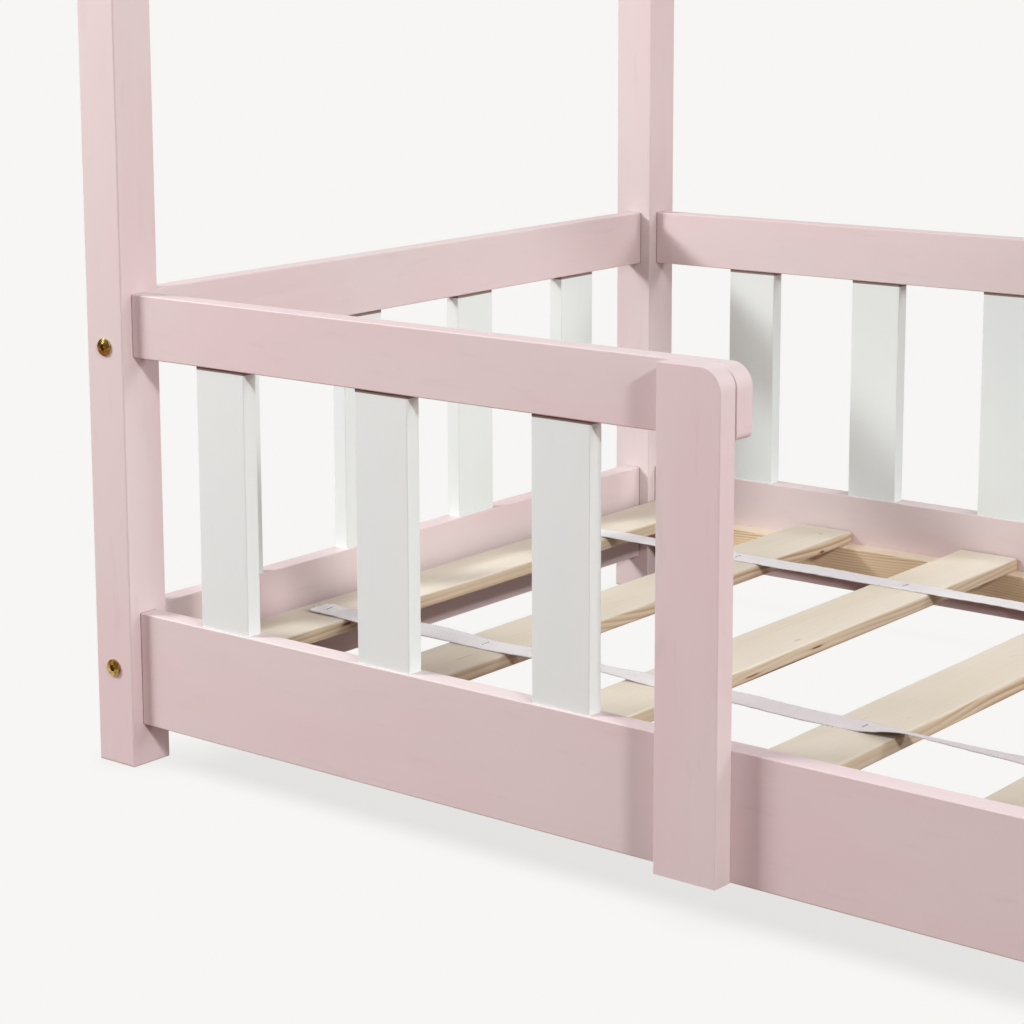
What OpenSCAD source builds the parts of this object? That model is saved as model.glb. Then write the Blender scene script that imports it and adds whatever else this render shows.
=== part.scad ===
// Toddler house bed: four tall posts, a low railed frame, a gabled roof frame and a loose slatted base.
// +X runs along the bed towards the foot end, -Y is the open front, and Z = 0 is the floor.
// The origin is on the floor at the centre of the bed's footprint.

/* [Mattress] */
// Length of the mattress that the frame holds
mattress_length = 1600; // [1400:10:2000]
// Width of the mattress that the frame holds
mattress_width = 700; // [600:10:900]

/* [Posts and boards] */
// Side of the square posts and roof beams
post = 40; // [38:1:50]
// Thickness of the rails and of the guard's end post
board = 18; // [16:1:22]
// Rounding along the edges of the posts
post_round = 1.5; // [1:0.5:5]
// Rounding along the edges of the boards
board_round = 1; // [1:0.5:4]

/* [Rails] */
// Height of the bottom rails above the floor
rail_clear = 34; // [20:1:80]
// Height of the bottom rails themselves
rail_height = 92; // [90:1:120]
// Height of the guard rails' top edge above the floor
guard_top = 383; // [340:1:480]
// Height of the guard rails themselves
guard_height = 50; // [48:1:70]

/* [Front guard] */
// Clear length from the left front post to the guard's end post
front_span = 509; // [450:1:560]
// Width of the end post
end_post_width = 50; // [40:1:70]
// Radius of the rounded top corner beside the way in
corner_radius = 16; // [8:1:20]

/* [Balusters] */
// Width of a baluster
baluster_width = 50; // [40:1:60]
// Thickness of a baluster
baluster_thick = 14; // [12:1:16]
// Number in the front guard
front_count = 3; // [2:1:3]
// Number in each end
end_count = 4; // [3:1:5]
// Number in the back guard
back_count = 11; // [8:1:11]
// Gap beside the first and the last baluster of the front guard
front_edge_gap = 67.5; // [50:0.5:90]
// Gap beside the first and the last baluster of an end
end_edge_gap = 78.5; // [60:0.5:90]

/* [Slatted base] */
// Number of slats
slat_count = 10; // [8:1:12]
// Width of a slat
slat_width = 58; // [50:1:70]
// Thickness of a slat
slat_thick = 12; // [10:1:18]
// Height of the ledges' top above the floor
ledge_top = 80; // [70:1:90]
// Width of a ledge, across the bed
ledge_width = 20; // [18:1:20]
// Height of a ledge
ledge_height = 25; // [20:1:30]
// Width of the webbing straps
strap_width = 25; // [12:1:30]

/* [Roof frame] */
// Height of the ridge above the floor
ridge_top = 1400; // [1200:10:1600]
// Slope of the rafters, in degrees
roof_pitch = 45; // [35:1:50]

/* [Hardware] */
// Diameter of a bolt's head
head_d = 14; // [13:0.5:17]
// Thickness of a bolt's head
head_h = 2.6; // [2:0.1:3]
// Length of a bolt under its head
bolt_length = 60; // [58:1:70]
// Length of a wooden dowel
dowel_length = 30; // [28:1:32]

/* [Hidden] */
$fn = 48;

pink = [0.86, 0.76, 0.76];
white = [0.93, 0.93, 0.91];
pine = [0.89, 0.82, 0.68];
beech = [0.80, 0.68, 0.50];
webbing = [0.91, 0.90, 0.91];
brass = [0.72, 0.60, 0.30];
steel = [0.70, 0.70, 0.72];

// Small numbers that only keep cutters clear of the faces they cut
over = 1;

// A bolt's domed head, less the sliver that its socket takes off the top of the dome
socket_af = 5;
socket_depth = 1.9;
dome_radius = 22;
head_reach = head_h - dome_radius + sqrt(pow(dome_radius, 2) - pow(socket_af / 2, 2));

// Overall frame
inset = (post - board) / 2;                      // rail face behind the post face
bed_length = mattress_length + 2 * (board + inset);
bed_width = mattress_width + 2 * (board + inset);
post_x = (bed_length - post) / 2;                // centre lines of the posts
post_y = (bed_width - post) / 2;
span_x = bed_length - 2 * post;                  // clear length between posts
span_y = bed_width - 2 * post;                   // clear width between posts
rail_top = rail_clear + rail_height;
guard_under = guard_top - guard_height;
// The guard's end post stands in front of the posts, the bolt heads behind them
front_reach = bed_width / 2 - inset + board;
back_reach = bed_width / 2 + head_reach;
frame_shift = (front_reach - back_reach) / 2;

// Bolts and dowels: the ones along X miss the ones along Y inside a post
bolt_d = 6;
bolt_hole = 6.6;
insert_d = 9;
insert_length = 15;
insert_bore = 6.2;
insert_hole = 9.1;
rail_bore_depth = bolt_length - post + 4;
dowel_d = 8;
dowel_hole_d = 8.1;
dowel_in_post = 12;
dowel_gap = 0.4;
rail_mid = rail_clear + rail_height / 2;
rail_pair = [rail_mid - 26, rail_mid + 26];
guard_low = guard_under + 8;                     // low and high fixings of a guard rail
guard_high = guard_top - 17;

// Wood screws
screw_d = 4;
screw_hole = 4.2;
screw_length = 30;
screw_head_d = 8;
screw_head_h = 2.4;
ledge_screws = 6;
ledge_screw_inset = 90;
guard_screw_zs = [rail_clear + 12, rail_top - 12, guard_under + 13, guard_top - 13];

// Front guard
front_start = -span_x / 2;
end_post_x = front_start + front_span + end_post_width / 2;
guard_end = front_start + front_span + end_post_width + 1;
end_round = 5;                                   // under the rail's free end

// Balusters
baluster_length = guard_under - rail_top;
front_pitch = (front_span - baluster_width - 2 * front_edge_gap) / (front_count - 1);
end_pitch = (span_y - baluster_width - 2 * end_edge_gap) / (end_count - 1);
back_gap = (span_x - back_count * baluster_width) / (back_count + 1);
back_pitch = baluster_width + back_gap;
function front_x(i) = front_start + front_span / 2 + (i - (front_count + 1) / 2) * front_pitch;
function end_y(i) = (i - (end_count + 1) / 2) * end_pitch;
function back_x(i) = (i - (back_count + 1) / 2) * back_pitch;

// Slatted base: the first gaps are as the straps happen to be stapled, the rest share what is left
base_play = 1;
base_length = span_x - 2 * base_play;
slat_length = mattress_width - 4;
slat_round = 2;
first_gaps = [111, 114.5, 119];
gaps_sum = first_gaps[0] + first_gaps[1] + first_gaps[2];
rest_gap = (base_length - slat_count * slat_width - gaps_sum) / (slat_count - 4);
function gap(i) = i <= 3 ? first_gaps[i - 1] : rest_gap;
function slat_start(i) = i == 1 ? -base_length / 2 : slat_start(i - 1) + slat_width + gap(i - 1);
slat_top = ledge_top + slat_thick;
strap_thick = 1.2;
strap_end = 16;                                  // from the outer slats' edges to the straps' ends
strap_front_y = -176;
strap_back_y = 196;
ledge_length = base_length;
ledge_y = mattress_width / 2 - ledge_width / 2;

// Roof frame: half-lapped joints, the post and the front rafter on the outside
half = post / 2;
rise = post_y * tan(roof_pitch);
drop = half / cos(roof_pitch);                   // from a rafter's centre line straight up to its top
apex_z = ridge_top - drop;
eave_z = apex_z - rise;
beam_drop = 12;                                  // the beams hang this far below the joints' centres
beam_dowel = 13;                                 // from a beam's bolt up to its dowel

// ---- Helpers ----

// Draws its children in the bed's own frame, centred on the whole bed's box
module bed() translate([0, frame_shift, 0]) children();

// Puts a piece at one corner: its own +X and +Y point to the middle of the bed
module corner(sx, sy)
    translate([sx * post_x, sy * post_y, 0])
        mirror([sx > 0 ? 1 : 0, 0, 0])
            mirror([0, sy > 0 ? 1 : 0, 0])
                children();

// Turns +Z to point inwards from the end s (-1 or 1) of the bed's length or width
module inward_x(s) rotate([0, -90 * s, 0]) children();
module inward_y(s) rotate([90 * s, 0, 0]) children();

// Rectangle with rounded corners
module rounded(a, b, r) {
    square([a - 2 * r, b], center = true);
    square([a, b - 2 * r], center = true);
    for (i = [-1, 1], j = [-1, 1])
        translate([i * (a / 2 - r), j * (b / 2 - r)])
            circle(r = r);
}

// Bars with rounded long edges, centred, along each axis
module bar_x(l, y, z, r) rotate([90, 0, 90]) linear_extrude(l, center = true) rounded(y, z, r);
module bar_y(l, x, z, r) rotate([90, 0, 0]) linear_extrude(l, center = true) rounded(x, z, r);
module bar_z(l, x, y, r) linear_extrude(l, center = true) rounded(x, y, r);

// Cutter that rounds a corner: the corner lies towards +X +Y, the cut runs along Z
module corner_cut(r, l)
    difference() {
        translate([0, 0, -l / 2]) cube([r + over, r + over, l]);
        cylinder(r = r, h = l + 2 * over, center = true);
    }

// ---- Hardware, each with its seat or joint face at z = 0 and +Z into the wood ----

module bolt()
    difference() {
        union() {
            intersection() {
                translate([0, 0, -head_h]) cylinder(d = head_d, h = head_h);
                translate([0, 0, dome_radius - head_h]) sphere(r = dome_radius);
            }
            cylinder(d = bolt_d, h = bolt_length);
        }
        translate([0, 0, -head_h - over])
            cylinder(d = socket_af / cos(30), h = socket_depth + over, $fn = 6);
    }

module insert_nut()
    translate([0, 0, post + dowel_gap])
        difference() {
            cylinder(d = insert_d, h = insert_length);
            translate([0, 0, -over]) cylinder(d = insert_bore, h = insert_length + 2 * over);
        }

module dowel(before) translate([0, 0, -before]) cylinder(d = dowel_d, h = dowel_length);

module dowel_hole(before)
    translate([0, 0, -before - dowel_gap])
        cylinder(d = dowel_hole_d, h = dowel_length + 2 * dowel_gap);

// The bore in the end of a rail or beam, for the insert nut and the bolt's tip
module end_bore() {
    translate([0, 0, -over]) cylinder(d = insert_hole, h = insert_length + 2 * dowel_gap + over);
    cylinder(d = bolt_hole, h = rail_bore_depth);
}

module screw()
    union() {
        cylinder(d1 = screw_head_d, d2 = screw_d, h = screw_head_h);
        cylinder(d = screw_d, h = screw_length);
    }

module screw_cut()
    union() {
        cylinder(d1 = screw_head_d + 0.2, d2 = screw_hole, h = screw_head_h);
        translate([0, 0, -over]) cylinder(d = screw_hole, h = screw_length + 1.5 + over);
    }

// ---- Where the hardware sits ----

// Bolt seats on the outer faces of the posts and rafters
module at_bolts() {
    for (sx = [-1, 1], sy = [-1, 1], z = [rail_mid, guard_low])
        translate([sx * post_x, sy * bed_width / 2, z]) inward_y(sy) children();
    for (sx = [-1, 1], sy = [-1, 1], z = rail_pair)
        translate([sx * bed_length / 2, sy * post_y, z]) inward_x(sx) children();
    for (sx = [-1, 1])
        translate([sx * bed_length / 2, post_y, guard_high]) inward_x(sx) children();
    translate([-bed_length / 2, -post_y, guard_high]) inward_x(-1) children();
    for (sx = [-1, 1], sy = [-1, 1])
        translate([sx * bed_length / 2, sy * post_y, eave_z - beam_drop]) inward_x(sx) children();
    for (sx = [-1, 1])
        translate([sx * bed_length / 2, 0, apex_z - beam_drop]) inward_x(sx) children();
}

// Joint faces between posts and rails, or rafters and beams, that have a dowel
module at_frame_dowels() {
    for (sx = [-1, 1], sy = [-1, 1], z = concat(rail_pair, [guard_high]))
        translate([sx * post_x, sy * span_y / 2, z]) inward_y(sy) children();
    for (sx = [-1, 1], sy = [-1, 1])
        translate([sx * span_x / 2, sy * post_y, rail_mid]) inward_x(sx) children();
    for (sx = [-1, 1])
        translate([sx * span_x / 2, post_y, guard_low]) inward_x(sx) children();
    translate([-span_x / 2, -post_y, guard_low]) inward_x(-1) children();
    for (sx = [-1, 1], sy = [-1, 1])
        translate([sx * span_x / 2, sy * post_y, eave_z - beam_drop + beam_dowel])
            inward_x(sx) children();
    for (sx = [-1, 1])
        translate([sx * span_x / 2, 0, apex_z - beam_drop + beam_dowel]) inward_x(sx) children();
}

// Baluster centres at one height, by side of the bed
module at_front_balusters(z)
    for (i = [1:front_count]) translate([front_x(i), -post_y, z]) children();
module at_back_balusters(z)
    for (i = [1:back_count]) translate([back_x(i), post_y, z]) children();
module at_end_balusters(z)
    for (i = [1:end_count]) translate([0, end_y(i), z]) children();

// Ledge screws, from the ledge's inner face outwards, for the side s (-1 front, 1 back)
module at_ledge_screws(s)
    for (i = [0:ledge_screws - 1])
        translate([
            -ledge_length / 2 + ledge_screw_inset
                + i * (ledge_length - 2 * ledge_screw_inset) / (ledge_screws - 1),
            s * (mattress_width / 2 - ledge_width),
            ledge_top - ledge_height / 2
        ])
            inward_y(-s) children();

// Screws that hold the end post, from the rails' inner faces outwards
module at_guard_screws()
    for (z = guard_screw_zs)
        translate([end_post_x, -mattress_width / 2, z]) inward_y(1) children();

// ---- Posts and rails ----

// A rafter's band seen from the end, from the line y = from up to the ridge; the long one fills the
// crossing with the other rafter and the short one stops under it
function band(from, long) = [
    [from, eave_z + (from + post_y) * tan(roof_pitch) - drop],
    long ? [drop / tan(roof_pitch), apex_z] : [0, apex_z - drop],
    long ? [0, apex_z + drop] : [-drop / tan(roof_pitch), apex_z],
    [from, eave_z + (from + post_y) * tan(roof_pitch) + drop]
];

// One 20 mm layer of a half-lapped post top in the post's own frame: the roof line lies lift above
// the rafter's centre line
module post_layer(x, lift)
    translate([x, 0, 0])
        rotate([90, 0, 90])
            linear_extrude(half)
                polygon([
                    [-half - over, -over],
                    [half + over, -over],
                    [half + over, eave_z + (half + over) * tan(roof_pitch) + lift],
                    [-half - over, eave_z - (half + over) * tan(roof_pitch) + lift]
                ]);

// One post in its own frame; side_guard says whether a guard rail along X meets it
module post_body(side_guard)
    difference() {
        intersection() {
            translate([0, 0, ridge_top / 2]) bar_z(ridge_top, post, post, post_round);
            union() {
                post_layer(-half, drop);
                post_layer(0, -drop);
            }
        }
        for (a = [0:90:270])
            rotate([0, 0, a])
                translate([half - post_round, 0, post_round])
                    rotate([-90, 0, 0])
                        corner_cut(post_round, post + 2 * over);
        for (z = [rail_mid, guard_low])
            translate([0, -half - over, z]) inward_y(-1) cylinder(d = bolt_hole, h = post + 2 * over);
        for (z = concat(rail_pair, side_guard ? [guard_high] : [], [eave_z - beam_drop]))
            translate([-half - over, 0, z]) inward_x(-1) cylinder(d = bolt_hole, h = post + 2 * over);
        for (z = concat(rail_pair, [guard_high]))
            translate([0, half, z]) inward_y(-1) dowel_hole(dowel_in_post);
        for (z = concat([rail_mid], side_guard ? [guard_low] : []))
            translate([half, 0, z]) inward_x(-1) dowel_hole(dowel_in_post);
    }

module post_front_left() color(pink) bed() corner(-1, -1) post_body(true);
module post_front_right() color(pink) bed() corner(1, -1) post_body(false);
module post_back_left() color(pink) bed() corner(-1, 1) post_body(true);
module post_back_right() color(pink) bed() corner(1, 1) post_body(true);

// Bottom rail along X on the side sy, with bolts, dowels and ledge screws in it
module side_rail(sy)
    difference() {
        translate([0, sy * post_y, rail_mid]) bar_x(span_x, board, rail_height, board_round);
        for (sx = [-1, 1], z = rail_pair)
            translate([sx * span_x / 2, sy * post_y, z]) inward_x(sx) end_bore();
        for (sx = [-1, 1])
            translate([sx * span_x / 2, sy * post_y, rail_mid]) inward_x(sx) dowel_hole(dowel_in_post);
        at_ledge_screws(sy) screw_cut();
    }

module side_rail_front()
    color(pink)
        bed()
            difference() {
                side_rail(-1);
                at_front_balusters(rail_top) dowel_hole(dowel_length / 2);
                at_guard_screws() screw_cut();
            }

module side_rail_back()
    color(pink)
        bed()
            difference() {
                side_rail(1);
                at_back_balusters(rail_top) dowel_hole(dowel_length / 2);
            }

// Bottom rail across one end
module end_rail(sx)
    color(pink)
        bed()
            translate([sx * post_x, 0, 0])
                difference() {
                    translate([0, 0, rail_mid]) bar_y(span_y, board, rail_height, board_round);
                    for (sy = [-1, 1])
                        translate([0, sy * span_y / 2, rail_mid]) inward_y(sy) end_bore();
                    for (sy = [-1, 1], z = rail_pair)
                        translate([0, sy * span_y / 2, z]) inward_y(sy) dowel_hole(dowel_in_post);
                    at_end_balusters(rail_top) dowel_hole(dowel_length / 2);
                }

module end_rail_left() end_rail(-1);
module end_rail_right() end_rail(1);

// Guard rail across one end
module end_guard_rail(sx)
    color(pink)
        bed()
            translate([sx * post_x, 0, 0])
                difference() {
                    translate([0, 0, guard_under + guard_height / 2])
                        bar_y(span_y, board, guard_height, board_round);
                    for (sy = [-1, 1])
                        translate([0, sy * span_y / 2, guard_low]) inward_y(sy) end_bore();
                    for (sy = [-1, 1])
                        translate([0, sy * span_y / 2, guard_high])
                            inward_y(sy)
                                dowel_hole(dowel_in_post);
                    at_end_balusters(guard_under) dowel_hole(dowel_length / 2);
                }

module guard_rail_left() end_guard_rail(-1);
module guard_rail_right() end_guard_rail(1);

module guard_rail_back()
    color(pink)
        bed()
            difference() {
                translate([0, post_y, guard_under + guard_height / 2])
                    bar_x(span_x, board, guard_height, board_round);
                for (sx = [-1, 1]) {
                    translate([sx * span_x / 2, post_y, guard_high]) inward_x(sx) end_bore();
                    translate([sx * span_x / 2, post_y, guard_low])
                        inward_x(sx)
                            dowel_hole(dowel_in_post);
                }
                at_back_balusters(guard_under) dowel_hole(dowel_length / 2);
            }

// Front guard rail: from the left post to just past the end post, with rounded corners at its free end
module guard_rail_front()
    color(pink)
        bed()
            difference() {
                translate([(front_start + guard_end) / 2, -post_y, guard_under + guard_height / 2])
                    bar_x(guard_end - front_start, board, guard_height, board_round);
                translate([guard_end - corner_radius, -post_y, guard_top - corner_radius])
                    rotate([90, 0, 0])
                        corner_cut(corner_radius, board + 2 * over);
                translate([guard_end - end_round, -post_y, guard_under + end_round])
                    rotate([-90, 0, 0])
                        corner_cut(end_round, board + 2 * over);
                translate([front_start, -post_y, guard_high]) inward_x(-1) end_bore();
                translate([front_start, -post_y, guard_low]) inward_x(-1) dowel_hole(dowel_in_post);
                at_front_balusters(guard_under) dowel_hole(dowel_length / 2);
                at_guard_screws() screw_cut();
            }

// Upright that ends the front guard, screwed to the outside of both front rails
module guard_end_post()
    color(pink)
        bed()
            difference() {
                translate([end_post_x, -front_reach + board / 2, (rail_clear + guard_top) / 2])
                    bar_z(guard_top - rail_clear, end_post_width, board, board_round);
                translate([
                    end_post_x + end_post_width / 2 - corner_radius,
                    -front_reach + board / 2,
                    guard_top - corner_radius
                ])
                    rotate([90, 0, 0])
                        corner_cut(corner_radius, board + 2 * over);
                at_guard_screws() screw_cut();
            }

// ---- Balusters ----

// One baluster standing on z = 0, wide along X, with a dowel hole in each end
module baluster_body()
    difference() {
        translate([0, 0, baluster_length / 2])
            bar_z(baluster_length, baluster_width, baluster_thick, board_round);
        dowel_hole(dowel_length / 2);
        translate([0, 0, baluster_length]) dowel_hole(dowel_length / 2);
    }

module baluster_front(i) color(white) bed() translate([front_x(i), -post_y, rail_top]) baluster_body();
module baluster_back(i) color(white) bed() translate([back_x(i), post_y, rail_top]) baluster_body();
module baluster_end(sx, i)
    color(white)
        bed()
            translate([sx * post_x, end_y(i), rail_top])
                rotate([0, 0, 90])
                    baluster_body();

// ---- Roof frame ----

// One 20 mm layer of a rafter at the end sx: 0 is the outer layer and 1 the inner one
module rafter_layer(layer, from, long)
    translate([-bed_length / 2 + layer * half, 0, 0])
        rotate([90, 0, 90])
            linear_extrude(half)
                polygon(band(from, long));

// A rafter from the front post to the ridge; outer_long says whether its outer layer fills the ridge joint
module rafter_body(outer_long)
    difference() {
        union() {
            rafter_layer(0, -span_y / 2, outer_long);
            rafter_layer(1, -bed_width / 2, !outer_long);
        }
        for (at = [[-post_y, eave_z], [0, apex_z]]) {
            translate([-bed_length / 2 - over, at[0], at[1] - beam_drop])
                inward_x(-1)
                    cylinder(d = bolt_hole, h = post + 2 * over);
            translate([-span_x / 2, at[0], at[1] - beam_drop + beam_dowel])
                inward_x(-1)
                    dowel_hole(dowel_in_post);
        }
    }

module rafter(sx, sy)
    color(pink)
        bed()
            mirror([sx > 0 ? 1 : 0, 0, 0])
                mirror([0, sy > 0 ? 1 : 0, 0])
                    rafter_body(sy < 0);

module rafter_front_left() rafter(-1, -1);
module rafter_front_right() rafter(1, -1);
module rafter_back_left() rafter(-1, 1);
module rafter_back_right() rafter(1, 1);

// A beam along X between the end frames, centred at y and hung beam_drop below the joint at z
module beam(y, z)
    color(pink)
        bed()
            difference() {
                translate([0, y, z - beam_drop]) bar_x(span_x, post, post, post_round);
                for (sx = [-1, 1]) {
                    translate([sx * span_x / 2, y, z - beam_drop]) inward_x(sx) end_bore();
                    translate([sx * span_x / 2, y, z - beam_drop + beam_dowel])
                        inward_x(sx)
                            dowel_hole(dowel_in_post);
                }
            }

module ridge_beam() beam(0, apex_z);
module eave_beam_front() beam(-post_y, eave_z);
module eave_beam_back() beam(post_y, eave_z);

// ---- Slatted base and its ledges ----

module ledge(s)
    color(pine)
        bed()
            difference() {
                translate([0, s * ledge_y, ledge_top - ledge_height / 2])
                    cube([ledge_length, ledge_width, ledge_height], center = true);
                at_ledge_screws(s) screw_cut();
            }

module ledge_front() ledge(-1);
module ledge_back() ledge(1);

module slat(i)
    color(pine)
        bed()
            translate([slat_start(i) + slat_width / 2, 0, ledge_top + slat_thick / 2])
                bar_y(slat_length, slat_width, slat_thick, slat_round);

// A strap laid over all the slats, its centre line at y
module strap(y)
    color(webbing)
        bed()
            translate([slat_start(1) + strap_end, y - strap_width / 2, slat_top])
                cube([
                    slat_start(slat_count) + slat_width - slat_start(1) - 2 * strap_end,
                    strap_width,
                    strap_thick
                ]);

module strap_front() strap(strap_front_y);
module strap_back() strap(strap_back_y);

// ---- Hardware groups ----

module frame_bolts() color(brass) bed() at_bolts() bolt();

module insert_nuts() color(brass) bed() at_bolts() insert_nut();

module dowels()
    color(beech)
        bed() {
            at_frame_dowels() dowel(dowel_in_post);
            for (z = [rail_top, guard_under]) {
                at_front_balusters(z) dowel(dowel_length / 2);
                at_back_balusters(z) dowel(dowel_length / 2);
                for (sx = [-1, 1])
                    translate([sx * post_x, 0, 0]) at_end_balusters(z) dowel(dowel_length / 2);
            }
        }

module wood_screws()
    color(steel)
        bed() {
            for (s = [-1, 1])
                at_ledge_screws(s) screw();
            at_guard_screws() screw();
        }

post_front_left();
post_front_right();
post_back_left();
post_back_right();
side_rail_front();
side_rail_back();
end_rail_left();
end_rail_right();
guard_rail_front();
guard_rail_back();
guard_rail_left();
guard_rail_right();
guard_end_post();
for (i = [1:front_count]) baluster_front(i);
for (i = [1:end_count]) baluster_end(-1, i);
for (i = [1:end_count]) baluster_end(1, i);
for (i = [1:back_count]) baluster_back(i);
rafter_front_left();
rafter_front_right();
rafter_back_left();
rafter_back_right();
ridge_beam();
eave_beam_front();
eave_beam_back();
ledge_front();
ledge_back();
for (i = [1:slat_count]) slat(i);
strap_front();
strap_back();
frame_bolts();
insert_nuts();
dowels();
wood_screws();
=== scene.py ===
import math

import bpy
import numpy as np
from mathutils import Matrix, Vector


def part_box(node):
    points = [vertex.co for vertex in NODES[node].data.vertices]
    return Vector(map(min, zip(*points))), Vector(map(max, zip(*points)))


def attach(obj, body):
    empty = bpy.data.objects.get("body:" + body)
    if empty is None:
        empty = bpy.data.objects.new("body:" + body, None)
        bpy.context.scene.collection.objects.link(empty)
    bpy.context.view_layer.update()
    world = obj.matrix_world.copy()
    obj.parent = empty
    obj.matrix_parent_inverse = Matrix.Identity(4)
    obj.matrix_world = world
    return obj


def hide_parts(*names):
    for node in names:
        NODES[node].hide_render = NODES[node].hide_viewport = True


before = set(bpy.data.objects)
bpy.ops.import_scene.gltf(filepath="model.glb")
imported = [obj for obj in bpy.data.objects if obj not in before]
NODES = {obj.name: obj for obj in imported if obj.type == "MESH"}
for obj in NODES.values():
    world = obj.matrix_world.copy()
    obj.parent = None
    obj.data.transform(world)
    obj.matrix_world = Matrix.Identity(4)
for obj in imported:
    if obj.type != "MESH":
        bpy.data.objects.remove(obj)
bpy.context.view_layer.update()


def rgb(red, green, blue):
    """An 8-bit sRGB colour as the linear RGBA that a shader takes."""
    part = [c / 255 for c in (red, green, blue)]
    return [c / 12.92 if c <= 0.04045 else ((c + 0.055) / 1.055) ** 2.4 for c in part] + [1.0]


# ---------------------------------------------------------------- materials

QUARTER = math.pi / 2
# How the bed's axes turn so that a piece's grain runs along the pattern's own X
GRAIN_TURN = {
    "x": (0, 0, 0),
    "y": (0, 0, -QUARTER),
    "z": (0, QUARTER, 0),
    "front_rafter": (-math.pi / 4, 0, 0),
    "back_rafter": (math.pi / 4, 0, 0),
}


class Tree:
    """Builds one material's nodes. Lengths are in metres, and shares run from 0 to 1."""

    def __init__(self, name):
        self.material = bpy.data.materials.new(name)
        self.material.use_nodes = True
        self.nodes = self.material.node_tree.nodes
        self.links = self.material.node_tree.links
        self.shader = self.nodes["Principled BSDF"]

    def add(self, kind, inputs=(), **settings):
        """A node of that kind; each input is a value, or another node's output to link."""
        node = self.nodes.new("ShaderNode" + kind)
        for key, value in settings.items():
            setattr(node, key, value)
        for key, value in dict(inputs).items():
            self.put(node, key, value)
        return node

    def put(self, node, key, value):
        if isinstance(value, bpy.types.NodeSocket):
            self.links.new(value, node.inputs[key])
        else:
            node.inputs[key].default_value = value

    def math(self, operation, a, b=0.0):
        return self.add("Math", {0: a, 1: b}, operation=operation).outputs[0]

    def vector(self, operation, a, b):
        node = self.add("VectorMath", {0: a, 1: b}, operation=operation)
        return node.outputs["Value" if operation in ("LENGTH", "DOT_PRODUCT") else "Vector"]

    def grain_space(self, grain):
        """Object coordinates in metres, turned so that X runs along the grain."""
        where = self.add("TexCoord").outputs["Object"]
        turn = GRAIN_TURN[grain]
        if turn == (0, 0, 0):
            return where
        if grain.endswith("rafter"):
            first = self.add("Mapping", {"Vector": where, "Rotation": turn}).outputs[0]
            return self.add("Mapping", {"Vector": first, "Rotation": GRAIN_TURN["y"]}).outputs[0]
        return self.add("Mapping", {"Vector": where, "Rotation": turn}).outputs[0]

    def noise(self, where, scale, detail=2.0, rough=0.5, shift=(0, 0, 0)):
        """Noise from 0 to 1; scale gives its waves per metre along each axis."""
        spot = self.vector("MULTIPLY", where, scale)
        if any(shift):
            spot = self.vector("ADD", spot, shift)
        inputs = {"Vector": spot, "Scale": 1.0, "Detail": detail, "Roughness": rough}
        return self.add("TexNoise", inputs).outputs["Fac"]

    def spread(self, value, low, high, to_low=0.0, to_high=1.0):
        """Maps low..high smoothly to to_low..to_high and clamps."""
        inputs = {"Value": value, "From Min": low, "From Max": high}
        inputs.update({"To Min": to_low, "To Max": to_high})
        node = self.add("MapRange", inputs, interpolation_type="SMOOTHSTEP", clamp=True)
        return node.outputs[0]

    def mix(self, share, a, b):
        node = self.add("Mix", data_type="RGBA")
        self.put(node, 0, share)
        self.put(node, 6, a)
        self.put(node, 7, b)
        return node.outputs[2]

    def bump(self, height, depth, normal=None):
        """A bump whose height of 1 stands for depth metres."""
        inputs = {"Height": height, "Distance": depth, "Strength": 1.0}
        if normal is not None:
            inputs["Normal"] = normal
        return self.add("Bump", inputs).outputs[0]

    def finish(self, **inputs):
        for key, value in inputs.items():
            self.put(self.shader, key.replace("_", " "), value)
        return self.material


def paint(name, grain, main, warm, pale, seed, figure=1.0, seam_and_shade=None):
    """Satin paint on planed wood. The wood's fibres and growth rings telegraph through it faintly,
    scaled by figure. A dark line can be given as an axis and how far out from the origin it starts
    along it: a joint line on the pink pieces, painted shade under the guard rails on the balusters."""
    t = Tree(name)
    where = t.grain_space(grain)
    shift = (seed * 3.1, seed * 1.7, seed * 2.3)
    fibres = t.noise(where, (7, 420, 420), 4, 0.6, shift)
    streaks = t.noise(where, (1.8, 70, 70), 3, 0.55, shift)
    clouds = t.noise(where, (4, 11, 11), 2, 0.5, shift)
    dashes = t.noise(where, (26, 130, 130), 2, 0.5, shift)
    rings = t.noise(where, (1.1, 150, 150), 1, 0.4, shift)
    peel = t.noise(where, (420, 420, 420), 1, 0.5)
    colour = t.mix(t.spread(clouds, 0.35, 0.65, 0.0, 0.7), main, warm)
    colour = t.mix(t.spread(streaks, 0.5, 0.78, 0.0, 0.18 * figure), colour, pale)
    colour = t.mix(t.spread(dashes, 0.58, 0.78, 0.0, 0.045 * figure), colour, PAINTED_GRAIN)
    # A dark line from the start outwards: a joint line on the pink pieces, painted shade under the guard
    # rails on the balusters
    if seam_and_shade is not None:
        axis, start = seam_and_shade
        place = t.add("SeparateXYZ", {0: t.add("TexCoord").outputs["Object"]})
        far = t.math("ABSOLUTE", place.outputs[axis])
        far = t.math("ADD", far, t.math("MULTIPLY", t.math("SUBTRACT", clouds, 0.5), 0.0012))
        colour = t.mix(t.spread(far, start - 0.0002, start + 0.0004, 0.0, 0.85), colour, SEAM_AND_SHADE)
    height = t.math("ADD", t.math("MULTIPLY", fibres, 0.35), t.math("MULTIPLY", rings, 0.65))
    normal = t.bump(peel, 0.000015, t.bump(height, 0.00004 * figure))
    rough = t.spread(fibres, 0.25, 0.75, 0.46, 0.58)
    rough = t.math("ADD", rough, t.spread(clouds, 0.3, 0.7, 0.0, 0.05))
    return t.finish(
        Base_Color=colour, Roughness=rough, Normal=normal, IOR=1.47, Specular_IOR_Level=0.3,
    )


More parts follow.
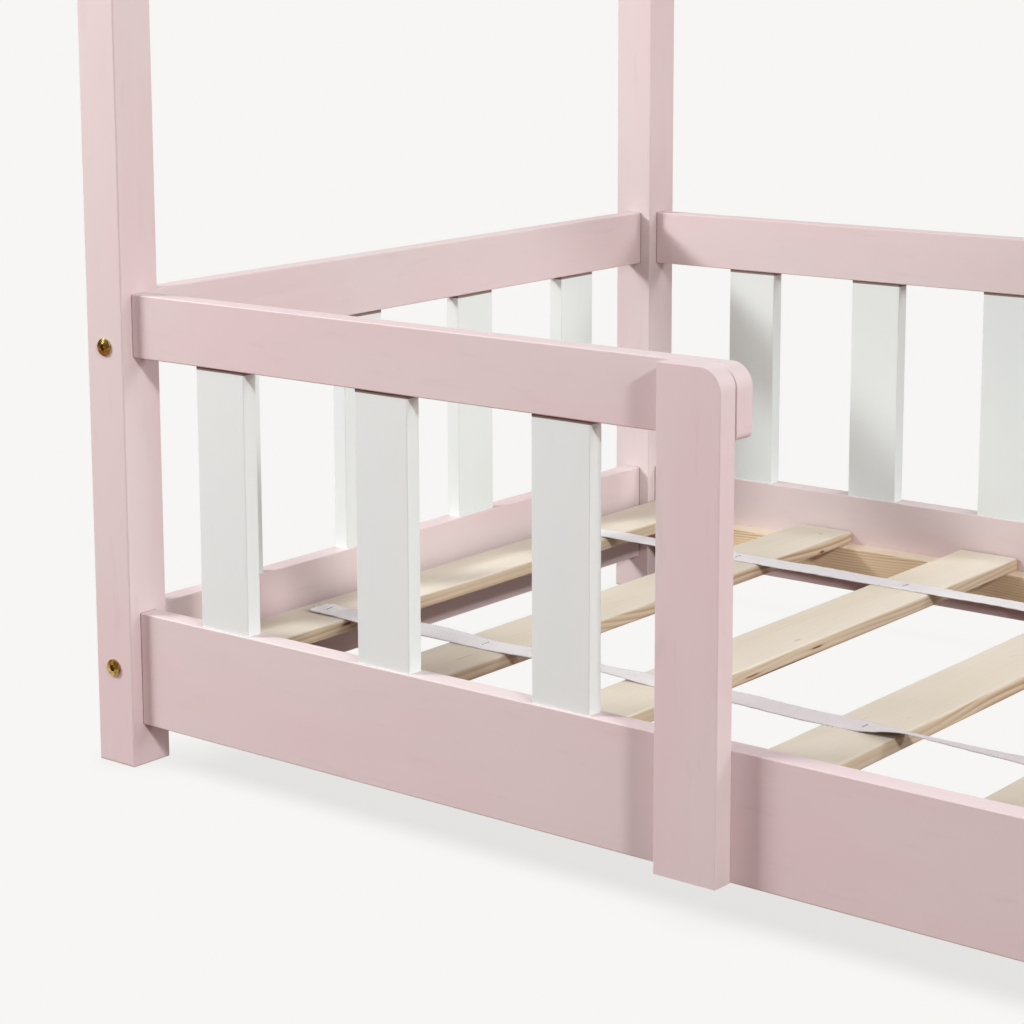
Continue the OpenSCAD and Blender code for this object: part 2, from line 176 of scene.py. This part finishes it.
def bare_wood(name, grain, centre, seed, light, dark, streak, marks=(), pith=(0.035, -0.07),
              ring=0.0042, top_figure=0.04, side_figure=0.85, side_tone=0.7, front_shade=0.0):
    """Planed wood without finish. The rings, ring metres apart, run round a pith beside the piece's
    own centre line. They show with top_figure on the faces that point up or down and with
    side_figure on the sides, which take side_tone of the dark colour. A mark is a knot, a resin
    pocket or a dark line of painted shade: its middle, half its length along the grain, half its
    width, and how dark it is. front_shade is how much painted shade darkens the wood towards the
    front of the bed."""
    t = Tree(name)
    where = t.grain_space(grain)
    back = Matrix.Rotation(GRAIN_TURN[grain][2], 3, "Z")
    shift = (seed * 2.7, seed * 4.3, seed * 1.9)
    # The pith wanders a little, which bends the rings into long flames on the wide faces
    wander_a = t.noise(where, (1.4, 2, 2), 2, 0.5, shift)
    wander_b = t.noise(where, (1.7, 2, 2), 2, 0.5, (shift[1], shift[2], shift[0]))
    apart = t.add("SeparateXYZ", {0: t.vector("SUBTRACT", where, tuple(back @ Vector(centre)))})
    a = t.math("ADD", apart.outputs[1], t.math("MULTIPLY", t.math("SUBTRACT", wander_a, 0.5), 0.09))
    b = t.math("ADD", apart.outputs[2], t.math("MULTIPLY", t.math("SUBTRACT", wander_b, 0.5), 0.05))
    a = t.math("ADD", a, pith[0])
    b = t.math("ADD", b, pith[1])
    across = t.add("CombineXYZ", {0: a, 1: b}).outputs[0]
    radius = t.vector("LENGTH", across, (0, 0, 0))
    phase = t.math("FRACT", t.math("DIVIDE", radius, ring))
    late = t.math("MULTIPLY", t.spread(phase, 0.2, 0.85), t.spread(phase, 0.88, 1.0, 1.0, 0.0))
    strength = t.noise(where, (2, 40, 40), 2, 0.5, shift)
    late = t.math("MULTIPLY", late, t.spread(strength, 0.3, 0.7, 0.2, 1.0))
    facing = t.add("SeparateXYZ", {0: t.add("NewGeometry").outputs["Normal"]}).outputs[2]
    side = t.spread(t.math("ABSOLUTE", facing), 0.3, 0.95, 1.0, 0.0)
    figure = t.math("ADD", t.math("MULTIPLY", side, side_figure - top_figure), top_figure)
    fibres = t.noise(where, (12, 700, 700), 4, 0.6, shift)
    clouds = t.noise(where, (2.5, 22, 22), 3, 0.5, shift)
    colour = t.mix(t.spread(clouds, 0.35, 0.7, 0.0, 0.22), light, dark)
    colour = t.mix(t.math("MULTIPLY", side, side_tone), colour, dark)
    colour = t.mix(t.math("MULTIPLY", late, figure), colour, streak)
    colour = t.mix(t.spread(fibres, 0.3, 0.62, 0.07, 0.0), colour, PINE_FIBRE)
    # Painted shade: the wood darkens towards the front of the bed
    y = t.add("SeparateXYZ", {0: t.add("TexCoord").outputs["Object"]}).outputs[1]
    colour = t.mix(t.spread(y, -0.23, -0.08, front_shade, 0.0), colour, FRONT_SHADE_PINE)
    # Fine resin flecks
    resin = t.noise(where, (26, 360, 360), 2, 0.5, (shift[2], shift[0], shift[1]))
    colour = t.mix(t.spread(resin, 0.74, 0.8, 0.0, 0.6), colour, RESIN)
    for at, half_length, half_width, darkness in marks:
        gap = t.vector("SUBTRACT", where, tuple(back @ Vector(at)))
        gap = t.vector("MULTIPLY", gap, (1 / half_length, 1 / half_width, 1 / half_width))
        away = t.vector("LENGTH", gap, (0, 0, 0))
        ragged = t.math("ADD", away, t.math("MULTIPLY", t.math("SUBTRACT", fibres, 0.5), 0.8))
        colour = t.mix(t.spread(ragged, 0.8, 2.4, 0.45 * darkness, 0.0), colour, MARK_RIM)
        colour = t.mix(t.spread(ragged, 0.6, 1.1, darkness, 0.0), colour, MARK_CORE)
    height = t.math("ADD", t.math("MULTIPLY", fibres, 0.6), t.math("MULTIPLY", late, -0.4))
    normal = t.bump(height, 0.00012)
    rough = t.spread(fibres, 0.25, 0.75, 0.56, 0.74)
    return t.finish(Base_Color=colour, Roughness=rough, Normal=normal, IOR=1.5)


def metal(name, main, worn, rough):
    """Plated metal with fine scuffs and a slightly uneven tone, darkened with painted shade in its hollows.
    """
    t = Tree(name)
    where = t.add("TexCoord").outputs["Object"]
    tone = t.noise(where, (380, 380, 380), 3, 0.6)
    scuff = t.noise(where, (1800, 600, 900), 2, 0.6)
    colour = t.mix(t.spread(tone, 0.35, 0.7), main, worn)
    # Painted shade darkens the hollows and the edges where the metal meets other parts
    hollow_shade = t.add("AmbientOcclusion", {"Distance": 0.003}, samples=8).outputs["AO"]
    colour = t.mix(t.spread(hollow_shade, 0.25, 0.8, 0.9, 0.0), colour, HOLLOW_SHADE)
    normal = t.bump(scuff, 0.00003)
    gloss = t.math("ADD", t.spread(tone, 0.3, 0.7, rough, rough + 0.12), t.spread(scuff, 0.4, 0.7, 0, 0.08))
    return t.finish(Base_Color=colour, Roughness=gloss, Normal=normal, Metallic=1.0)


def webbing(name, pitch, start, middle_at, width, shade_from):
    """Woven tape: weft ridges that zigzag across its ribs, white with a little dust, and from one X
    on darker with painted shade.
    """
    t = Tree(name)
    where = t.add("TexCoord").outputs["Object"]
    apart = t.add("SeparateXYZ", {0: where})
    along = t.math("DIVIDE", t.math("SUBTRACT", apart.outputs[0], start), pitch)
    across = t.math("DIVIDE", t.math("SUBTRACT", apart.outputs[1], middle_at), width)
    zigzag = t.math("PINGPONG", t.math("MULTIPLY", across, RIBS / 2), 1.0)
    weft = t.math("SINE", t.math("MULTIPLY", t.math("ADD", along, zigzag), 2 * math.pi))
    warp = t.math("ABSOLUTE", t.math("SINE", t.math("MULTIPLY", across, RIBS * math.pi)))
    weave = t.math("MULTIPLY", t.math("ADD", t.math("MULTIPLY", weft, 0.5), 0.5), warp)
    fuzz = t.noise(where, (900, 2400, 2400), 3, 0.65)
    dust = t.noise(where, (30, 60, 60), 2, 0.5)
    colour = t.mix(t.spread(weave, 0.0, 0.9), WEBBING_DEEP, WEBBING_MAIN)
    colour = t.mix(t.spread(dust, 0.45, 0.75, 0.0, 0.25), colour, WEBBING_DUST_AND_SHADE)
    # Painted shade: from a given X on the tape takes the darker colour
    shade_share = t.spread(apart.outputs[0], shade_from - 0.08, shade_from + 0.08, 0.0, 0.85)
    colour = t.mix(shade_share, colour, WEBBING_DUST_AND_SHADE)
    height = t.math("ADD", t.math("MULTIPLY", weave, 0.8), t.math("MULTIPLY", fuzz, 0.2))
    normal = t.bump(height, 0.0002)
    rough = t.spread(weave, 0.0, 1.0, 0.72, 0.5)
    return t.finish(Base_Color=colour, Roughness=rough, Normal=normal, Sheen_Weight=0.15)


WEBBING_MAIN = rgb(246, 246, 245)
WEBBING_DEEP = rgb(222, 220, 223)
WEBBING_DUST_AND_SHADE = rgb(208, 202, 204)
SEAM_AND_SHADE = rgb(104, 64, 54)
HOLLOW_SHADE = rgb(52, 32, 12)
PAINTED_GRAIN = rgb(120, 96, 96)
PINK_MAIN = rgb(223, 210, 210)
PINK_WARM = rgb(225, 203, 205)
PINK_PALE = rgb(228, 216, 216)
WHITE_MAIN = rgb(229, 238, 237)
WHITE_WARM = rgb(232, 238, 236)
WHITE_PALE = rgb(233, 241, 241)
PINE_LIGHT = rgb(233, 226, 210)
PINE_DARK = rgb(212, 193, 162)
PINE_STREAK = rgb(176, 134, 96)
PINE_FIBRE = rgb(150, 112, 72)
FRONT_SHADE_PINE = rgb(120, 108, 88)
RESIN = rgb(158, 112, 72)
MARK_RIM = rgb(186, 138, 92)
MARK_CORE = rgb(88, 52, 32)
LEDGE_LIGHT = rgb(241, 228, 204)
LEDGE_DARK = rgb(250, 228, 188)
LEDGE_STREAK = rgb(158, 106, 64)
BEECH_LIGHT = rgb(206, 180, 146)
BEECH_DARK = rgb(184, 152, 114)

# A thin dark line shows where rails meet posts; on the balusters the dark band under the guard rails is
# painted shade
SEAMS = {
    "x": (0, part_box("side_rail_back")[1].x - 0.0008),
    "y": (1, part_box("end_rail_left")[1].y - 0.0008),
}
pink = {
    grain: paint(
        f"pink_paint_{grain}", grain, PINK_MAIN, PINK_WARM, PINK_PALE, i, seam_and_shade=SEAMS.get(grain)
    )
    for i, grain in enumerate(GRAIN_TURN)
}
BALUSTER_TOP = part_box("baluster_back_1")[1].z
# The white paint's dark band, 2.8 mm deep under the guard rails, is painted shade
white = paint(
    "white_paint_z", "z", WHITE_MAIN, WHITE_WARM, WHITE_PALE, 7, 0.4, (2, BALUSTER_TOP - 0.0028)
)
brass = metal("brass", rgb(236, 212, 126), rgb(150, 120, 50), 0.12)
zinc = metal("zinc_steel", rgb(196, 198, 202), rgb(160, 162, 168), 0.3)


def dress(node, material):
    """Gives a CAD node its material in every slot."""
    mesh = NODES[node].data
    for i in range(len(mesh.materials)):
        mesh.materials[i] = material


def middle(node):
    low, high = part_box(node)
    return (low + high) / 2


# How bright single slats are; the others take USUAL_TONE
SLAT_TONE = {1: 0.88, 2: 0.91, 3: 1.03, 4: 0.93, 6: 1.02, 7: 0.9}
USUAL_TONE = 0.95
# Knots, resin pockets and a dark line of painted shade along slat 3's lower edge: middle, half the
# length along the grain, half the width, all in metres, and the darkness
SLAT_MARKS = {
    1: [((-0.7300, -0.1840, 0.0882), 0.0065, 0.0014, 0.95)],
    2: [
        ((-0.5610, 0.2977, 0.0825), 0.0045, 0.0013, 0.95),
        ((-0.5800, 0.3256, 0.0920), 0.0016, 0.0012, 0.5),
    ],
    3: [
        ((-0.3885, -0.0920, 0.0843), 0.0110, 0.0006, 0.95),
        ((-0.3885, 0.0040, 0.0860), 0.0090, 0.0008, 1.0),
        # A dark line of painted shade along the lower edge of the slat's side
        ((-0.3888, -0.0480, 0.0806), 0.0720, 0.0014, 1.0),
        ((-0.4010, -0.0060, 0.0920), 0.0045, 0.0009, 0.3),
    ],
    6: [((0.0300, 0.1400, 0.0920), 0.0080, 0.0050, 0.9)],
    8: [((0.3400, -0.0800, 0.0920), 0.0065, 0.0045, 0.9)],
}

for node in NODES:
    if node.startswith(("side_rail", "guard_rail_front", "guard_rail_back", "ridge", "eave")):
        dress(node, pink["x"])
    elif node.startswith(("end_rail", "guard_rail_")):
        dress(node, pink["y"])
    elif node.startswith(("post", "guard_end_post")):
        dress(node, pink["z"])
    elif node.startswith("rafter_front"):
        dress(node, pink["front_rafter"])
    elif node.startswith("rafter_back"):
        dress(node, pink["back_rafter"])
    elif node.startswith("baluster"):
        dress(node, white)
    elif node.startswith("ledge"):
        seed = 3 + (node == "ledge_back")
        dress(node, bare_wood(
            f"pine_{node}", "x", middle(node), seed, LEDGE_LIGHT, LEDGE_DARK, LEDGE_STREAK,
            pith=(0.02, -0.03), ring=0.0024, side_figure=1.0, side_tone=0.95,
        ))
    elif node.startswith("slat"):
        number = int(node.split("_")[1])
        lean = (0.02 + 0.006 * (number % 4)) * (1 if number % 2 else -1)
        light = [c * SLAT_TONE.get(number, USUAL_TONE) for c in PINE_LIGHT[:3]] + [1.0]
        # The slats darken towards the front of the bed with painted shade
        dress(node, bare_wood(
            f"pine_{node}", "y", middle(node), number, light, PINE_DARK, PINE_STREAK,
            SLAT_MARKS.get(number, ()), pith=(lean, -0.05 - 0.011 * (number % 3)), front_shade=0.17,
        ))
dress("frame_bolts", brass)
dress("insert_nuts", brass)
dress("wood_screws", zinc)
dress("dowels", bare_wood("beech", "x", (0, 0, 0), 21, BEECH_LIGHT, BEECH_DARK, BEECH_DARK, ring=0.002))


# ---------------------------------------------------------------- straps and staples

SLATS = [f"slat_{i}" for i in range(1, 11)]
SLAT_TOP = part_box("slat_1")[1].z
STRAP_THICK = 0.0011
LOOP = 0.0027  # from one loop of the woven edge to the next
STEPS_PER_LOOP = 4
ACROSS = 12  # steps across the strap's width
RIBS = 12  # woven ribs across it
SAG = 0.0012  # how far a strap hangs below the line between two slats
STAPLE_SPAN = 0.0094
STAPLE_WIRE = 0.00033  # radius
HAIRS = 46  # loose yarns at each cut end
rng = np.random.default_rng(11)


def smooth_curve(x, knots, column):
    """Follows a column of the knots over x without corners."""
    at = np.array([k[0] for k in knots])
    value = np.array([k[column] for k in knots], float)
    slope = np.gradient(value, at)
    i = np.clip(np.searchsorted(at, x) - 1, 0, len(at) - 2)
    step = at[i + 1] - at[i]
    u = np.clip((x - at[i]) / step, 0, 1)
    return (
        (2 * u**3 - 3 * u**2 + 1) * value[i] + (u**3 - 2 * u**2 + u) * step * slope[i]
        + (3 * u**2 - 2 * u**3) * value[i + 1] + (u**3 - u**2) * step * slope[i + 1]
    )


def mesh_object(name, points, faces, material):
    mesh = bpy.data.meshes.new(name)
    mesh.from_pydata([tuple(p) for p in points], [], [tuple(f) for f in faces])
    mesh.materials.append(material)
    mesh.polygons.foreach_set("use_smooth", [True] * len(mesh.polygons))
    mesh.update()
    o = bpy.data.objects.new(name, mesh)
    bpy.context.scene.collection.objects.link(o)
    return o


def strap(node, knots, shade_from):
    """A woven strap over the slats. A knot is a place along X, the shift across in mm, the lift in
    mm above lying flat on the slats, and the tilt in degrees that raises the back edge."""
    low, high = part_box(node)
    width, middle_y = high.y - low.y, (low.y + high.y) / 2
    count = int(round((high.x - low.x) / LOOP * STEPS_PER_LOOP)) + 1
    x = np.linspace(low.x, high.x, count)
    shift = smooth_curve(x, knots, 1) / 1000
    lift = smooth_curve(x, knots, 2) / 1000
    tilt = np.radians(smooth_curve(x, knots, 3))
    # Between two slats the strap hangs a little below the line across their tops
    for a, b in zip(SLATS, SLATS[1:]):
        start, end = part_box(a)[1].x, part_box(b)[0].x
        u = np.clip((x - start) / (end - start), 0, 1)
        lift -= SAG * 4 * u * (1 - u)
    ease = np.minimum(1, np.minimum(x - low.x, high.x - x) / 0.01)
    ripple = 0.00025 * np.sin(x * 210) * np.sin(x * 37 + 1) * ease
    z = SLAT_TOP + STRAP_THICK / 2 + np.maximum(lift, -0.004) + np.abs(ripple)
    across = np.linspace(-0.5, 0.5, ACROSS + 1)
    loops = np.abs(np.sin(math.pi * (x - low.x) / LOOP))
    rumple = np.exp(-np.minimum(x - low.x, high.x - x) / 0.012)  # strong at the cut ends only
    ragged = rng.uniform(-0.0016, 0.0004, ACROSS + 1)
    rows = []
    for side in (1, -1):
        for v, rag in list(zip(across, ragged))[::side]:
            reach = np.full(count, v * width)
            if v == across[0]:
                reach = reach - 0.0005 * loops + 0.0004
            if v == across[-1]:
                reach = reach - 0.0002 * (1 - loops)
            rib = 0.00007 * (1 + np.cos(2 * math.pi * (v * RIBS / 2 + (x - low.x) / LOOP)))
            thick = side * (STRAP_THICK / 2 * (1 - 0.35 * abs(2 * v) ** 6) + rib)
            y = middle_y + shift + reach * np.cos(tilt) - thick * np.sin(tilt)
            crease = 0.0008 * rumple * (1 + np.sin(460 * x + 8 * v) * np.cos(5 * v))
            up = z + crease + reach * np.sin(tilt) + thick * np.cos(tilt)
            rows.append(np.stack([x + rag * rumple * np.sign(x), y, up], 1))
    ring = len(rows)
    points = np.stack(rows, 1).reshape(-1, 3)
    faces = []
    for i in range(count - 1):
        for j in range(ring):
            k = (j + 1) % ring
            faces.append((i * ring + j, i * ring + k, (i + 1) * ring + k, (i + 1) * ring + j))
    faces.append(tuple(range(ring))[::-1])
    faces.append(tuple((count - 1) * ring + j for j in range(ring)))
    material = webbing(f"webbing_{node}", LOOP, low.x, middle_y, width, shade_from)
    piece = mesh_object(f"{node}_webbing", points, faces, material)
    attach(piece, "slat_base")
    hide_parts(node)
    ends = frayed_ends(f"{node}_frayed_ends", points.reshape(count, ring, 3), material)
    crown = points.reshape(count, ring, 3)[:, ACROSS // 2]
    wires = staples(f"{node}_staples", [crown[np.argmin(abs(x - middle(s).x))] for s in SLATS])


def staples(name, spots):
    """One fine wire staple across the strap on each slat, its legs sunk into the webbing."""
    half, bend, leg = STAPLE_SPAN / 2, 0.0007, 0.0010
    # Places along and above the crown with the wire's slope there, up one leg and over to the crown
    path = [(-half, -leg, 90), (-half, -bend, 90)]
    path += [(-half + 0.3 * bend, -0.3 * bend, 45), (-half + bend, 0, 0)]
    path += [(-s, z, -angle) for s, z, angle in path[::-1]]
    points, faces = [], []
    for spot in spots:
        turn = rng.normal(0, 0.12)
        along, level = np.array([math.sin(turn), math.cos(turn), 0]), np.array([0, 0, 1.0])
        first = len(points)
        for s, z, angle in path:
            a = math.radians(angle)
            outward = -math.sin(a) * along + math.cos(a) * level
            centre = spot + s * along + (z + STAPLE_WIRE * 0.7) * level
            for k in range(8):
                b = k * math.pi / 4
                spoke = math.cos(b) * outward + math.sin(b) * np.cross(along, level)
                points.append(centre + STAPLE_WIRE * spoke)
        for i in range(len(path) - 1):
            for k in range(8):
                m = (k + 1) % 8
                base = first + 8 * i
                faces.append((base + k, base + m, base + 8 + m, base + 8 + k))
        faces.append(tuple(first + k for k in range(7, -1, -1)))
        faces.append(tuple(first + 8 * (len(path) - 1) + k for k in range(8)))
    piece = mesh_object(name, points, faces, zinc)
    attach(piece, "slat_base")
    return piece


def frayed_ends(name, rings, material):
    """Loose yarns that stand out of both cut ends, as thin tapering four-sided hairs."""
    points, faces = [], []
    for ring, outward in ((rings[0], -1), (rings[-1], 1)):
        top = ring[: ACROSS + 1]
        for _ in range(HAIRS):
            at = rng.uniform(0, ACROSS)
            i = int(at)
            root = top[i] + (top[i + 1] - top[i]) * (at - i) - (0, 0, STRAP_THICK * rng.uniform(0.2, 0.8))
            length = rng.uniform(0.0015, 0.0062)
            aim = np.array([outward, rng.normal(0, 0.35), rng.normal(0.02, 0.12)])
            bend = np.array([0, rng.normal(0, 0.0012), -rng.uniform(0, 0.0004)])
            radius = rng.uniform(0.00010, 0.00018)
            first = len(points)
            for step in range(4):
                u = step / 3
                spot = root + aim * length * u + bend * u * u
                spot[2] = max(spot[2], SLAT_TOP + radius)
                for c, s in ((1, 0), (0, 1), (-1, 0), (0, -1)):
                    points.append(spot + np.array([0, c, s]) * radius * (1 - 0.6 * u))
            for step in range(3):
                for j in range(4):
                    k = (j + 1) % 4
                    base = first + step * 4
                    faces.append((base + j, base + k, base + 4 + k, base + 4 + j))
            faces.append(tuple(first + j for j in (3, 2, 1, 0)))
            faces.append(tuple(first + 12 + j for j in range(4)))
    piece = mesh_object(name, points, faces, material)
    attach(piece, "slat_base")
    return piece


FRONT_KNOTS = [
    (-0.775, 0, 0.4, 0), (-0.760, 0, 0.8, 2), (-0.748, 0.5, 0.1, -1), (-0.735, 0, 0.5, 2),
    (-0.700, 0, 1.0, 3), (-0.646, 0, 2.2, 4.6), (-0.610, 0, 0.6, 1.5), (-0.590, 0, 0.0, 0),
    (-0.562, 0, 0.5, 0), (-0.540, 0, 2.2, 0), (-0.500, 0, 2.2, -5), (-0.468, 0, 1.6, -8),
    (-0.447, 0, 0.9, -4), (-0.421, 0, 0.0, 0), (-0.389, 0, 0.0, 0), (-0.347, 0, 1.8, 0),
    (-0.310, -1, 1.0, 0), (-0.273, -2, 0.1, 0), (-0.240, -1, 0.1, -1), (-0.228, -3, 1.3, -5.5),
    (-0.214, -5, 2.9, -13), (-0.201, -4, 3.6, -17), (-0.185, -1, 2.6, -15.5),
    (-0.145, 0, 1.6, -12), (-0.112, -3, 1.9, -8), (-0.090, -3, 0.4, -1), (-0.060, -2, 0.0, 0),
    (0.010, 1, 1.0, 5), (0.060, 1, 0.1, 0), (0.120, 0, 0.0, 0), (0.175, -2, 1.4, -6),
    (0.225, -1, 0.1, 0), (0.290, 0, 0.1, 0), (0.340, 2, 0.8, 4), (0.390, 1, 0.1, 0),
    (0.450, 0, 0.0, 0), (0.510, -1, 1.0, -4), (0.560, -1, 0.1, 0), (0.615, 0, 0.1, 0),
    (0.675, 1, 1.2, 5), (0.730, 0, 0.2, 0), (0.755, 0, 0.7, -2), (0.775, 0, 0.3, 0),
]
BACK_KNOTS = [
    (-0.775, 0, 0.3, 0), (-0.750, 0, 0.0, 0), (-0.728, 0, 0.9, 0), (-0.675, 0, 1.3, -1),
    (-0.620, 0, 0.1, 0), (-0.560, 0, 0.1, 0), (-0.505, 0, 1.4, 1), (-0.447, 0, 0.1, 0),
    (-0.389, 0, 0.1, -1), (-0.330, 0, 1.2, -2), (-0.270, 0, 0.1, 0), (-0.212, 1, 0.1, 0),
    (-0.155, 2, 1.2, 4), (-0.104, 0, 0.1, 0), (-0.046, 0, 0.1, 0), (0.010, -2, 1.2, -5),
    (0.062, -1, 0.1, 0), (0.120, 0, 0.1, 0), (0.175, 1, 1.0, 3), (0.229, 0, 0.1, 0),
    (0.290, 0, 0.0, 0), (0.340, -1, 1.5, -4), (0.395, 0, 0.1, 0), (0.453, 0, 0.1, 0),
    (0.510, 2, 1.0, 5), (0.562, 0, 0.1, 0), (0.620, 0, 0.1, 0), (0.675, -1, 1.2, -3),
    (0.730, 0, 0.1, 0), (0.775, 0, 0.5, 0),
]
# Each strap is darkened with painted shade from the given X on
strap("strap_front", FRONT_KNOTS, shade_from=-0.40)
strap("strap_back", BACK_KNOTS, shade_from=0.30)


# ---------------------------------------------------------------- camera, light and floor

CAMERA_AT = Vector((0.6608, -1.7455, 0.6608))
CAMERA_YAW = math.radians(40.67)  # from +Y towards -X
CAMERA_PITCH = math.radians(-9.886)
CAMERA_ROLL = math.radians(-0.66)

camera = bpy.data.objects.new("camera", bpy.data.cameras.new("camera"))
bpy.context.scene.collection.objects.link(camera)
camera.data.sensor_width = 36
camera.data.lens = 90.36
camera.data.shift_x = 0.1207
camera.data.shift_y = -0.13
camera.matrix_world = (
    Matrix.Translation(CAMERA_AT)
    @ Matrix.Rotation(CAMERA_YAW, 4, "Z")
    @ Matrix.Rotation(math.pi / 2 + CAMERA_PITCH, 4, "X")
    @ Matrix.Rotation(CAMERA_ROLL, 4, "Z")
)
camera.data.clip_end = 200
bpy.context.scene.camera = camera

BACKDROP = rgb(247, 246, 244)
ROOM_TINT = (1, 0.8, 0.78, 1)  # light that came back off the pink frame
ROOM_STRENGTH = 0.145
BOUNCE_AROUND = rgb(127, 94, 87)  # the floor as the bed is lit by it, around it and beneath it
BOUNCE_BENEATH = rgb(118, 66, 56)
RAIL_SHADOW = 0.17  # how dark the soft shadow along the front bottom rail is


def softbox(name, at, aim, size, power):
    data = bpy.data.lights.new(name, "AREA")
    data.shape = "RECTANGLE"
    data.size, data.size_y = size
    data.energy = power
    o = bpy.data.objects.new(name, data)
    bpy.context.scene.collection.objects.link(o)
    o.location = at
    o.rotation_euler = (Vector(aim) - Vector(at)).to_track_quat("-Z", "Y").to_euler()
    o.visible_camera = False


softbox("key_left", (-2.75, -1.95, 1.85), (-0.5, 0, 0.25), (0.9, 0.4), 62.5)
softbox("key_left_soft", (-2.8, -1.6, 2.4), (-0.4, 0, 0.3), (1.5, 1.5), 38)
softbox("key_right", (4.72, -2.88, 3.4), (-0.5, 0, 0.25), (0.72, 0.45), 199.6)
# A strip that hardly lights the bed and glints in the bolt heads
softbox("glint", (-2.96, -2.4, 0.85), (-0.8, -0.4, 0.2), (0.25, 1.2), 3.2)
softbox("overhead", (-0.3, 0, 4.6), (-0.3, 0, 0), (2.9, 2.2), 27.5)
softbox("fill_right", (4.78, -1.6, 1.42), (-0.5, 0, 0.3), (2.4, 2.4), 49.4)
softbox("fill_front", (-0.6, -3.2, 1.0), (-0.4, 0, 0.3), (2.0, 1.2), 4.1)
softbox("back_right", (4.0, 3.6, 4.16), (-0.5, 0, 0.2), (2.7, 2.7), 176)
softbox("back_left", (-1.2, 2.6, 2.2), (-0.3, 0, 0.3), (2.0, 1.5), 12)

world = bpy.data.worlds.new("studio")
bpy.context.scene.world = world
world.use_nodes = True
wn, wl = world.node_tree.nodes, world.node_tree.links
room = wn["Background"]
room.inputs["Color"].default_value = ROOM_TINT
room.inputs["Strength"].default_value = ROOM_STRENGTH
plain = wn.new("ShaderNodeBackground")
plain.inputs["Color"].default_value = BACKDROP
choose = wn.new("ShaderNodeMixShader")
wl.new(wn.new("ShaderNodeLightPath").outputs["Is Camera Ray"], choose.inputs[0])
wl.new(room.outputs[0], choose.inputs[1])
wl.new(plain.outputs[0], choose.inputs[2])
wl.new(choose.outputs[0], wn["World Output"].inputs["Surface"])

bpy.ops.mesh.primitive_circle_add(vertices=96, radius=60, fill_type="NGON", location=(0, 0, 0))
floor = bpy.context.object
floor.name = "floor"
RAIL_FACE_X, RAIL_FACE_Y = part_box("end_rail_right")[1].x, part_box("side_rail_back")[1].y
f = Tree("floor")
# The camera sees a white sweep that keeps only a soft shadow at the posts' feet and just inside the
# front bottom rail. The bed itself is lit from below by a darker, warm floor.
place = f.add("SeparateXYZ", {0: f.add("TexCoord").outputs["Object"]})
inside = f.math("ADD", place.outputs[1], RAIL_FACE_Y)
along = f.math("SUBTRACT", RAIL_FACE_X, f.math("ABSOLUTE", place.outputs[0]))
under = f.math("MULTIPLY", f.spread(inside, -0.002, 0.04), f.spread(inside, 0.10, 0.19, 1, 0))
under = f.math("MULTIPLY", under, f.spread(along, -0.02, 0.09))
foot = f.add("AmbientOcclusion", {"Distance": 0.05}, samples=8)
shade = f.math("SUBTRACT", 1.0, f.math("MULTIPLY", under, RAIL_SHADOW))
shade = f.math("MULTIPLY", shade, f.spread(foot.outputs["AO"], 0.4, 0.9, 0.93, 1.0))
glow = f.add("Emission", {"Color": BACKDROP, "Strength": shade})
reach = f.math("SUBTRACT", RAIL_FACE_Y, f.math("ABSOLUTE", place.outputs[1]))
# Beneath the bed the floor that lights the bed is darker and redder, painted shade under the bed
beneath = f.math("MULTIPLY", f.spread(reach, -0.05, 0.1), f.spread(along, -0.05, 0.1))
bounce = f.add("BsdfDiffuse", {"Color": f.mix(beneath, BOUNCE_AROUND, BOUNCE_BENEATH)})
# Mirrored rays see the bright floor too, from just in front of the bed to the back
rays = f.add("LightPath")
near = f.spread(place.outputs[1], -0.62, -0.4, 0, 0.75)
close = f.math("MULTIPLY", near, rays.outputs["Is Glossy Ray"])
seen = f.math("MAXIMUM", rays.outputs["Is Camera Ray"], close)
both = f.add("MixShader", {0: seen, 1: bounce.outputs[0], 2: glow.outputs[0]})
f.links.new(both.outputs[0], f.nodes["Material Output"].inputs["Surface"])
floor.data.materials.append(f.material)

bpy.context.scene.view_settings.view_transform = "Standard"
